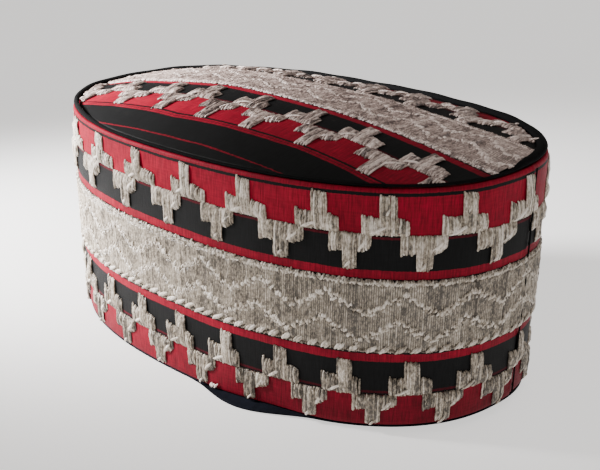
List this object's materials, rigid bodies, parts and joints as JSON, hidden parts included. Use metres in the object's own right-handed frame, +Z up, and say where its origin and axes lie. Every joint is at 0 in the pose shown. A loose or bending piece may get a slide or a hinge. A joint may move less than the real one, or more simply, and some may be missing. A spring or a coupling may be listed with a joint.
{
  "type": "songkok cap",
  "caption": "Brimless oval cap of striped cloth with a stiff upright wall, a softly domed top, a padded roll along the rim and a dark lining.",
  "frame": {"origin": "middle of the cap's footprint, on the plane that its lower edge stands on", "axes": "+X along the cap's length, towards the end that holds the wall's seam; +Y across it; +Z up"},
  "size_m": [0.2218, 0.1238, 0.1013],
  "materials": {
    "wall_cloth": "woven, red and black stripes with raised silver-grey thread work",
    "crown_cloth": "woven, red and black stripes with raised silver-grey thread work",
    "welt_cloth": "matt black woven cloth over a cord",
    "lining_cloth": "matt dark blue woven cloth",
    "silver_thread": "twisted silver-grey thread, satin sheen"
  },
  "bodies": {
    "root": {"side_band": "wall_cloth", "crown": "crown_cloth", "crown_welt": "welt_cloth", "lining": "lining_cloth"}
  },
  "joints": []
}
